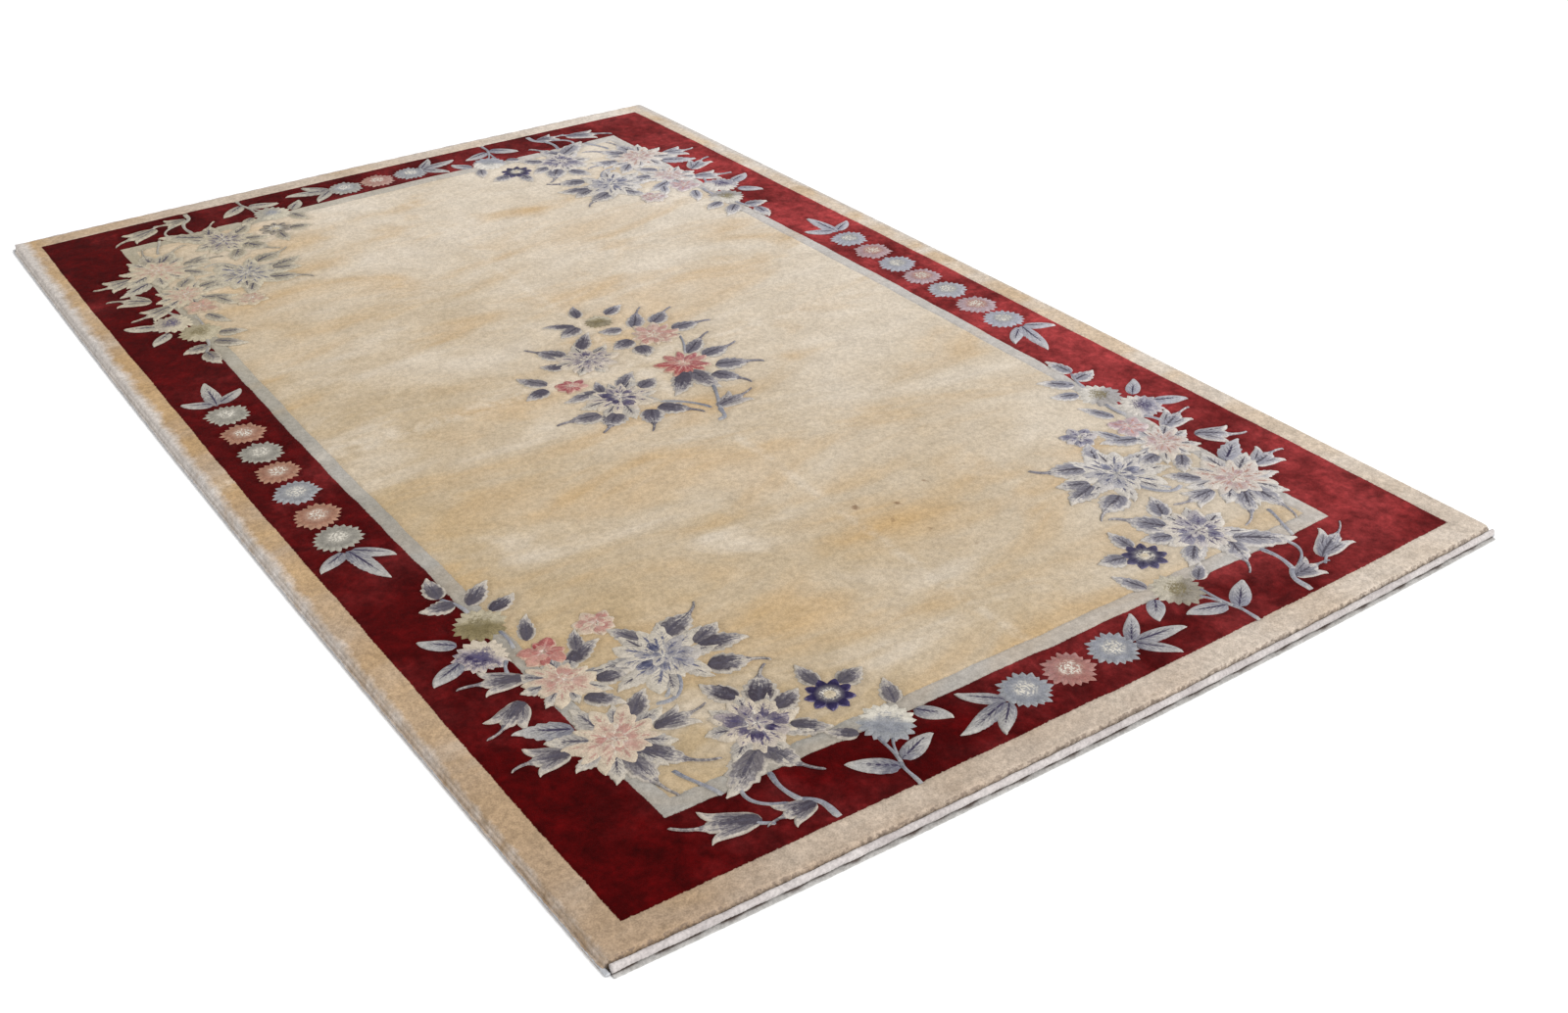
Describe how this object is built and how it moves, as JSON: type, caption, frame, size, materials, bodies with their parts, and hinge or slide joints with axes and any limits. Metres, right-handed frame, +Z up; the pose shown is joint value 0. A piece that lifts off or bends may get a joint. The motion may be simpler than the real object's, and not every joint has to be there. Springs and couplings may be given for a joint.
{
  "type": "carved silk pile rug",
  "caption": "Rectangular hand-knotted silk pile rug lying flat, with a web and a padded roll at both ends and overcast side cords.",
  "frame": {"origin": "middle of the footprint, on the floor", "axes": "+X along the rug's length, towards the near short end; +Y across it; +Z up, out of the pile"},
  "size_m": [2.449, 1.498, 0.018],
  "materials": {
    "silk_pile": "sheared and carved silk pile, cream field, dark red border, slate, violet and rose flowers",
    "end_roll_cotton": "off-white cotton whipping",
    "side_cord_cotton": "pale grey cotton overcasting",
    "web_cotton": "grey flat-woven cotton foundation"
  },
  "bodies": {
    "root": {"rug_cloth": "silk_pile", "end_roll_near": "end_roll_cotton", "end_roll_far": "end_roll_cotton", "side_cord_left": "side_cord_cotton", "side_cord_right": "side_cord_cotton"}
  },
  "joints": []
}
